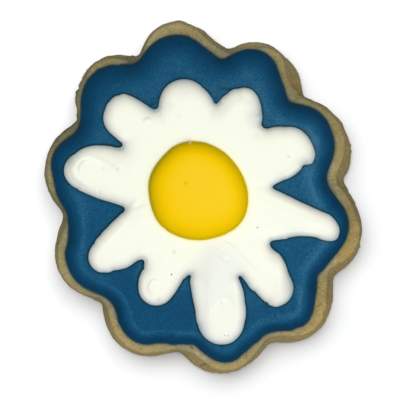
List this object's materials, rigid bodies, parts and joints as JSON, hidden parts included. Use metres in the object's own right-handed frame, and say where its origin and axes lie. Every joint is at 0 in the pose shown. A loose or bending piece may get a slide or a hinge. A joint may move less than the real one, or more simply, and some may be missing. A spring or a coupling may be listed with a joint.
{
  "type": "iced sugar cookie",
  "caption": "Thick lobed sugar cookie lying flat, flooded with navy icing and topped with a piped white daisy and a domed yellow centre.",
  "frame": {"origin": "on the resting face, under the middle of the cookie's outline", "axes": "+Z up out of the icing, +Y along the longest extent, +X to the right seen from above with +Y up"},
  "size_m": [0.0809, 0.0899, 0.0125],
  "materials": {
    "baked_dough": "dry baked crumb, matt",
    "blue_icing": "set royal icing, soft satin",
    "white_icing": "set royal icing, soft satin",
    "yellow_icing": "set royal icing, soft satin"
  },
  "bodies": {
    "root": {"dough_base": "baked_dough", "blue_icing": "blue_icing", "white_daisy": "white_icing", "yellow_centre": "yellow_icing"}
  },
  "joints": []
}
